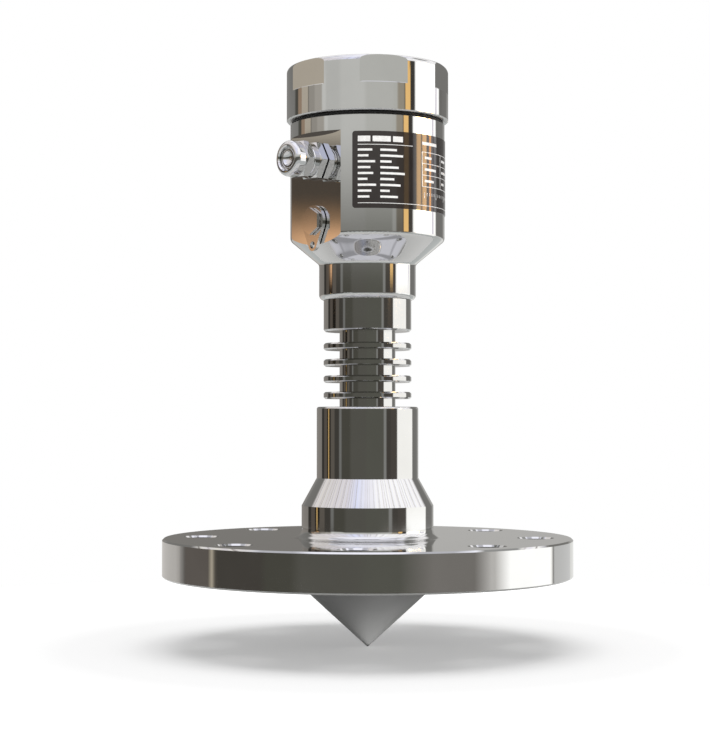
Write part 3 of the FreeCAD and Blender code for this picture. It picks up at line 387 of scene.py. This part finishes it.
# Earth terminal: a bright hexagon screw holds a punched tag on the milled flat, with a toothed
# washer under the tag, coloured near black as painted shade in the gap. All three are stainless.
earth_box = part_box("earth_bolt")
earth_centre = (0, 0, (earth_box[0][2] + earth_box[1][2]) / 2)
screw_steel = polished_steel("bright_screw_steel", "#c4c3c1", "#cccbc9",
                             gloss_low=0.05, gloss_high=0.08, rings_mm=0.5, axis="X",
                             centre=earth_centre)
dress(screw_steel, "earth_bolt")
tag_steel = polished_steel("punched_tag_steel", "#c0bfbd", "#c9c8c6",
                           gloss_low=0.07, gloss_high=0.11, rings_mm=0.5, axis="X",
                           centre=earth_centre)
dress(tag_steel, "earth_tag")
# Painted shade: the washer is near black to stand for the shadowed gap between the tag and the
# flat.
washer_gap_shade_steel, tree, shader = new_finish("washer_painted_gap_shade", Metallic=1.0)
uneven(tree, shader, clouds_of(tree, size_mm=2), "#131313", "#1e1d1c",
       gloss_low=0.4, gloss_high=0.5)
dress(washer_gap_shade_steel, "earth_lock_washer")


# Lid: screw cap turned from the same stainless bar as the housing and polished with it.
# The edge over the seal is only deburred, so it is satin.
lid_steel, tree, shader = new_finish("buffed_lid_steel", Metallic=1.0)
clouds = clouds_of(tree, size_mm=24)
uneven(tree, shader, clouds, "#c6c6c4", "#cbcbc9")
rough_up(tree, shader, tool_rings(tree, pitch_mm=0.9), strength=0.04, depth_mm=0.02)
LID_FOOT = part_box("lid")[0][2]
SATIN_EDGE = 0.55 * MM
EDGE_BLUR = 0.1 * MM
SATIN_ROUGHNESS = 0.4
place = add(tree, "ShaderNodeTexCoord").outputs["Object"]
height = add(tree, "ShaderNodeSeparateXYZ", {"Vector": place}).outputs["Z"]
gloss = add(tree, "ShaderNodeMapRange", {
    "Value": clouds, "From Min": THIN_CLOUD, "From Max": THICK_CLOUD,
    "To Min": 0.03, "To Max": 0.05})
satin = add(tree, "ShaderNodeMapRange", {
    "Value": height, "From Min": LID_FOOT + SATIN_EDGE,
    "From Max": LID_FOOT + SATIN_EDGE + EDGE_BLUR,
    "To Min": SATIN_ROUGHNESS, "To Max": gloss.outputs["Result"]})
tree.links.new(satin.outputs["Result"], shader.inputs["Roughness"])
dress(lid_steel, "lid")


# Camera: long lens at the height of the neck, tilted up a little. The object stands slightly
# right of the middle of the picture.
LENS_PIXELS = 1790.9
PICTURE_HEIGHT = 750
SENSOR_MM = 36.0
CAMERA_REACH = 0.966
CAMERA_HEIGHT = 0.08445
VIEW_AZIMUTH = math.radians(-41.7)
PIXELS_OFF_MIDDLE = 12.5
YAW = math.atan(PIXELS_OFF_MIDDLE / LENS_PIXELS)
TILT = math.radians(1.39)
UPWARD = Vector((0, 0, 1))
heading = Vector((-math.sin(VIEW_AZIMUTH), math.cos(VIEW_AZIMUTH), 0))
rightward = Vector((math.cos(VIEW_AZIMUTH), math.sin(VIEW_AZIMUTH), 0))
camera_place = UPWARD * CAMERA_HEIGHT - heading * CAMERA_REACH
level_aim = heading * math.cos(YAW) - rightward * math.sin(YAW)
aim = level_aim * math.cos(TILT) + UPWARD * math.sin(TILT)
side = aim.cross(UPWARD).normalized()
up = side.cross(aim)
lens = bpy.data.cameras.new("photo_lens")
lens.sensor_width = SENSOR_MM
lens.lens = LENS_PIXELS * SENSOR_MM / PICTURE_HEIGHT
lens.clip_start = 0.05
lens.clip_end = 100
camera = bpy.data.objects.new("photo_camera", lens)
camera.matrix_world = Matrix((
    (side.x, up.x, -aim.x, camera_place.x),
    (side.y, up.y, -aim.y, camera_place.y),
    (side.z, up.z, -aim.z, camera_place.z),
    (0, 0, 0, 1)))
bpy.context.scene.collection.objects.link(camera)
bpy.context.scene.camera = camera


# Floor: a round sheet of pale card under the antenna's tip. It takes the soft shadow, and past
# its edge the white room goes on at the same brightness. Its glow rises away from the object, so
# the floor round the object is darker: painted shade on top of the lamps' real shadow. Steel shows
# it duller than it looks.
def rays_of(tree, *kinds):
    """1 for the named kinds of ray and 0 for all others."""
    path = add(tree, "ShaderNodeLightPath")
    seen = path.outputs[kinds[0]]
    for kind in kinds[1:]:
        seen = add(tree, "ShaderNodeMath", {0: seen, 1: path.outputs[kind]}, operation="MAXIMUM")
    return seen


FLOOR_HEIGHT = cad_box[0][2]
FLOOR_RADIUS = 0.42
# The card glows less near the object than further out: painted shade round the object.
PAINTED_SHADE_FADES_FROM, PAINTED_SHADE_GONE_AT = 0.16, 0.3
LIFT_IN_PAINTED_SHADE, LIFT_PAST_PAINTED_SHADE = 0.315, 0.63
LIFT_IN_STEEL = 0.3
bpy.ops.mesh.primitive_circle_add(vertices=128, radius=FLOOR_RADIUS, fill_type="NGON",
                                  location=(0, 0, FLOOR_HEIGHT))
floor = bpy.context.object
floor.name = "card_floor"
floor_card = bpy.data.materials.new("pale_card")
floor_card.use_nodes = True
tree = floor_card.node_tree
tree.nodes.clear()
card = add(tree, "ShaderNodeBsdfDiffuse", {"Color": linear("#c6c6c6")})
place = add(tree, "ShaderNodeTexCoord").outputs["Object"]
reach = add(tree, "ShaderNodeVectorMath", {0: place}, operation="LENGTH")
# Painted shade: the card's glow is weaker near the object and rises towards the edge, so the floor
# round the object is darker than its lamps make it.
glow = add(tree, "ShaderNodeMapRange", {
    "Value": reach.outputs["Value"], "From Min": PAINTED_SHADE_FADES_FROM, "From Max": PAINTED_SHADE_GONE_AT,
    "To Min": LIFT_IN_PAINTED_SHADE, "To Max": LIFT_PAST_PAINTED_SHADE})
lift = add(tree, "ShaderNodeEmission", {"Color": linear("#ffffff"), "Strength": glow})
both = add(tree, "ShaderNodeAddShader", {0: card, 1: lift})
mirrored = rays_of(tree, "Is Glossy Ray", "Is Transmission Ray")
mirrored = add(tree, "ShaderNodeMath", {0: mirrored, 1: LIFT_IN_STEEL}, operation="MULTIPLY")
lift_seen = add(tree, "ShaderNodeMath", {
    0: rays_of(tree, "Is Camera Ray"), 1: mirrored}, operation="MAXIMUM")
seen = add(tree, "ShaderNodeMixShader", {"Fac": lift_seen, 1: card, 2: both})
add(tree, "ShaderNodeOutputMaterial", {"Surface": seen})
floor.data.materials.append(floor_card)


# Studio tent: a sphere far round the object that only reflections see, with what polished steel
# mirrors in a product studio. Bearings are in degrees from the camera's back, to the right.
# Each part of the wall has a colour at its foot and one at its top, and the ceiling is white.
TENT_RADIUS = 20
TENT_LIGHT = 1.72
TENT_MIDDLE = (0, 0, 0.1)
bpy.ops.mesh.primitive_uv_sphere_add(segments=64, ring_count=32, radius=TENT_RADIUS,
                                     location=TENT_MIDDLE)
tent = bpy.context.object
tent.name = "studio_tent"
tent.rotation_euler = (0, 0, VIEW_AZIMUTH)
tent.visible_camera = False
tent.visible_diffuse = False
tent.visible_shadow = False
tent_cloth = bpy.data.materials.new("studio_tent_cloth")
tent_cloth.use_nodes = True
tree = tent_cloth.node_tree
tree.nodes.clear()
place = add(tree, "ShaderNodeTexCoord").outputs["Object"]
aimed = add(tree, "ShaderNodeVectorMath", {"Vector": place}, operation="NORMALIZE")
parts = add(tree, "ShaderNodeSeparateXYZ", {"Vector": aimed})
toward = add(tree, "ShaderNodeMath", {0: parts.outputs["Y"], 1: -1.0}, operation="MULTIPLY")
turn = add(tree, "ShaderNodeMath", {0: parts.outputs["X"], 1: toward}, operation="ARCTAN2")
bearing = add(tree, "ShaderNodeMath", {0: turn, 1: math.radians(1)}, operation="DIVIDE")
climb = add(tree, "ShaderNodeMath", {0: parts.outputs["Z"]}, operation="ARCSINE")
height = add(tree, "ShaderNodeMath", {0: climb, 1: math.radians(1)}, operation="DIVIDE")
around = add(tree, "ShaderNodeMapRange", {"Value": bearing, "From Min": -180, "From Max": 180})
wall_parts = [
    # what it is, from, to, colour at its foot, colour at its top
    ("grey flat behind", -180, -127, "#787470", "#7f7e7c"),
    ("black post", -125, -117, "#32302d", "#45443f"),
    ("brown drape", -115, -105, "#504a44", "#8a7868"),
    ("dark gap", -103, -93, "#1e1c18", "#4c4640"),
    ("brown drape", -91, -81, "#57524c", "#8c8882"),
    ("black post", -79, -68, "#3b3935", "#9a9690"),
    ("thin grey post", -66, -61.5, "#6a6a68", "#b8b8b6"),
    ("dark flat", -60, -42, "#44433d", "#aeaeac"),
    ("grey flat", -36, -6, "#4f4e49", "#b4b4b2"),
    ("grey flat", 0, 36, "#50504a", "#acaca9"),
    ("thin grey post", 38, 42, "#7a7a78", "#aaaaa6"),
    ("dark flat", 44, 53, "#403d39", "#8f887c"),
    ("black edge", 55, 70, "#46423e", "#3a3835"),
    ("softbox cloth", 71.5, 121, "#f0efed", "#ffffff"),
    ("grey flat", 123, 151, "#6c6b69", "#686765"),
    ("pale flat", 155, 180, "#908f8d", "#a09f9d")]
foot = add(tree, "ShaderNodeValToRGB", {"Fac": around}, stops=[
    (0.5 + edge / 360, part[3]) for part in wall_parts for edge in part[1:3]])
top = add(tree, "ShaderNodeValToRGB", {"Fac": around}, stops=[
    (0.5 + edge / 360, part[4]) for part in wall_parts for edge in part[1:3]])
FOOT_ENDS, TOP_STARTS = 4.0, 10.2
rise = add(tree, "ShaderNodeMapRange", {
    "Value": height, "From Min": FOOT_ENDS, "From Max": TOP_STARTS},
    interpolation_type="SMOOTHSTEP")
view = add(tree, "ShaderNodeMix", {0: rise, 6: foot, 7: top}, data_type="RGBA")


def band(value, low, high, soft):
    """1 between two limits and 0 outside them, with a soft edge on both sides."""
    lower = add(tree, "ShaderNodeMapRange", {
        "Value": value, "From Min": low - soft / 2, "From Max": low + soft / 2})
    upper = add(tree, "ShaderNodeMapRange", {
        "Value": value, "From Min": high - soft / 2, "From Max": high + soft / 2,
        "To Min": 1.0, "To Max": 0.0})
    return add(tree, "ShaderNodeMath", {0: lower, 1: upper}, operation="MULTIPLY")


def hang(behind, left, right, low, high, code, power, blur=1.0, fade=0.8):
    """The view with one more card in front of it, between two bearings and two heights."""
    wide = band(bearing, left, right, blur)
    tall = band(height, low, high, fade)
    mask = add(tree, "ShaderNodeMath", {0: wide, 1: tall}, operation="MULTIPLY")
    bright = tuple(c * power for c in linear(code)[:3]) + (1,)
    return add(tree, "ShaderNodeMix", {0: mask, 6: behind, 7: bright}, data_type="RGBA")


# Ceiling: white panels in radial rows, some of them lilac, with grey seams and thin grey battens.
# Overhead they end at a plain lilac crown with a grey ring and two broad grey ribs.
PANEL_PITCH = 15.0
BATTEN_PITCH = 11.3
CROWN_STARTS, CROWN_FULL = 53, 58
WALL_ENDS, CEILING_FULL = 13, 26
panel = add(tree, "ShaderNodeMath", {0: bearing, 1: PANEL_PITCH}, operation="DIVIDE")
share = add(tree, "ShaderNodeMath", {0: panel}, operation="FRACT")
cloth = add(tree, "ShaderNodeValToRGB", {"Fac": around}, stops=[
    (0.0, "#e6e4e2"), (0.2, "#dcd8d4"), (0.36, "#e2dfe4"), (0.43, "#dfe4fb"), (0.5, "#e4e3ea"),
    (0.56, "#ffffff"), (0.8, "#ffffff"), (1.0, "#e6e4e2")])
seam = add(tree, "ShaderNodeValToRGB", {"Fac": share}, stops=[
    (0.0, "#867e7e"), (0.05, "#ffffff"), (0.3, "#f2f2fb"), (0.55, "#fbfaf8"), (0.8, "#eceaf4"),
    (0.95, "#ffffff"), (1.0, "#867e7e")])
ceiling = add(tree, "ShaderNodeMix", {0: 1.0, 6: cloth, 7: seam}, data_type="RGBA",
              blend_type="MULTIPLY")
batten = add(tree, "ShaderNodeMath", {0: bearing, 1: BATTEN_PITCH}, operation="DIVIDE")
batten = add(tree, "ShaderNodeMath", {0: batten}, operation="FRACT")
ceiling = add(tree, "ShaderNodeMix", {
    0: band(batten, low=0.42, high=0.5, soft=0.05), 6: ceiling, 7: linear("#b6b0b4")},
    data_type="RGBA")
crown = add(tree, "ShaderNodeMapRange", {
    "Value": height, "From Min": CROWN_STARTS, "From Max": CROWN_FULL})
ceiling = add(tree, "ShaderNodeMix", {
    0: crown, 6: ceiling, 7: linear("#eeeefa")}, data_type="RGBA")
for mask, code in ((band(height, low=64.2, high=66.2, soft=1.0), "#c8c8d2"),
                   (band(bearing, low=-122, high=-92, soft=8), "#b2b2ba"),
                   (band(bearing, low=80, high=106, soft=8), "#b2b2ba")):
    rib = add(tree, "ShaderNodeMath", {0: mask, 1: crown}, operation="MULTIPLY")
    ceiling = add(tree, "ShaderNodeMix", {0: rib, 6: ceiling, 7: linear(code)}, data_type="RGBA")
lofty = add(tree, "ShaderNodeMapRange", {
    "Value": height, "From Min": WALL_ENDS, "From Max": CEILING_FULL},
    interpolation_type="SMOOTHSTEP")
view = add(tree, "ShaderNodeMix", {0: lofty, 6: view, 7: ceiling}, data_type="RGBA")

# Cards, strips, lamps and skirtings in front of the walls, from the back to the front one, and
# the floor of the room last. The sizes are in degrees, and the ends are the upper and lower edge.
cards = [
    # what it is, from, to, low, high, colour, power, how soft its sides are and then its ends
    ("high grey flat", -181, -124, 9, 33, "#6c6b69", 1, 6, 6),
    ("high grey flat", 131, 181, 9, 30, "#6c6b69", 1, 4, 6),
    ("dark end of the flat", -195, -166, -12, 14, "#64625f", 1, 16),
    ("pale skirting", -190, -124, -12, -3.85, "#a6a3a0", 1, 16, 0.4),
    ("pale skirting", 124, 152, -12, -3.85, "#b2b2b2", 1, 1, 0.4),
    ("pale skirting", 152, 180, -12, -3.85, "#c0c0be", 1, 1, 0.4),
    ("gold strip", -100.3, -97, -3.85, 1.3, "#b89862", 1),
    ("brown skirting", -120, -95.5, -12, -3.85, "#58534f", 1, 4, 0.4),
    ("pale cord", -95.5, -92, -12, -3.85, "#a0988a", 1, 3, 0.4),
    ("dark skirting", -91, -58, -12, -3.85, "#403d39", 1, 4, 0.4),
    ("grey skirting", 26, 69, -12, -3.85, "#6f6c69", 1, 18, 0.4),
    ("brown card", -105, -93, 4.6, 7.15, "#7a624c", 1),
    ("gold card", -99.4, -93.5, 4.7, 6.3, "#d6a880", 1, 2.2, 0.7),
    ("dark card", -107, -93, 7.15, 8.3, "#463f38", 1),
    ("pale card", -107, -93, 9.1, 14, "#a49c90", 1),
    ("gold strip", 55, 63, 4.6, 14, "#e2b878", 1),
    ("softbox lamp", 74, 118, 4.4, 14, "#ffffff", 1.15),
    ("grey fold", 111.5, 116, 4.4, 14, "#d6d2dc", 0.9),
    ("gold tube", 77, 85.5, 5, 14, "#ffd29c", 6.5, 2.4),
    ("gold tube", 88, 97, 5, 14, "#ffd09a", 7),
    ("gold tube", 103.3, 107.4, 5, 14, "#ffb878", 7),
    ("grey ceiling panel", 98, 135, 41, 56, "#8e8e8e", 1, 6, 3),
    ("softbox foot", 73, 120, -12, -3.2, "#ffffff", 1),
    ("soft edge", 65, 78, -12, -3.85, "#b2b0ae", 1, 11, 0.4),
    ("floor", -181, 181, -91, -12, "#a5a8a8", 1)]
for what, *card in cards:
    view = hang(view, *card)
    view.label = what
glow = add(tree, "ShaderNodeEmission", {"Color": view, "Strength": TENT_LIGHT})
add(tree, "ShaderNodeOutputMaterial", {"Surface": glow})
tent.data.materials.append(tent_cloth)


# Lamps: a broad soft lamp overhead, a softbox low on the right, a card in front and the light
# that the pale floor throws up at the antenna. The room is white behind the object and gives a
# low even light.
def soft_lamp(name, place, aim_at, size, watts):
    """A round soft lamp that mirrors don't show, because the tent holds its picture."""
    lamp = bpy.data.lights.new(name, "AREA")
    lamp.shape = "DISK"
    lamp.size = size
    lamp.energy = watts
    holder = bpy.data.objects.new(name, lamp)
    holder.location = place
    holder.rotation_euler = (aim_at - place).to_track_quat("-Z", "Y").to_euler()
    holder.visible_camera = False
    holder.visible_glossy = False
    bpy.context.scene.collection.objects.link(holder)


CENTRE = Vector((0, 0, 0))
soft_lamp("overhead_softbox", place=UPWARD * 1.6, aim_at=CENTRE, size=1.6, watts=24)
right_place = rightward * 1.4 - heading * 0.1 + UPWARD * 0.1
soft_lamp("right_softbox", right_place, aim_at=CENTRE, size=0.7, watts=4)
front_place = rightward * 0.12 - heading * 1.15 - UPWARD * 0.01
soft_lamp("front_card", front_place, aim_at=UPWARD * -0.01, size=0.4, watts=7)
JUST_OVER_FLOOR = FLOOR_HEIGHT + 0.4 * MM
bounce_place = rightward * 0.011 - heading * 0.019 + UPWARD * JUST_OVER_FLOOR
soft_lamp("floor_bounce", bounce_place, aim_at=bounce_place + UPWARD, size=0.04, watts=0.0068)
ROOM_LIGHT = 0.45
room = bpy.data.worlds.new("white_room")
bpy.context.scene.world = room
room.use_nodes = True
tree = room.node_tree
tree.nodes.clear()
seen = rays_of(tree, "Is Camera Ray", "Is Glossy Ray", "Is Transmission Ray")
level = add(tree, "ShaderNodeMapRange", {"Value": seen, "To Min": ROOM_LIGHT, "To Max": 1.0})
white = add(tree, "ShaderNodeBackground", {
    "Color": linear("#ffffff"), "Strength": level.outputs["Result"]})
add(tree, "ShaderNodeOutputWorld", {"Surface": white})
bpy.context.scene.view_settings.view_transform = "Standard"
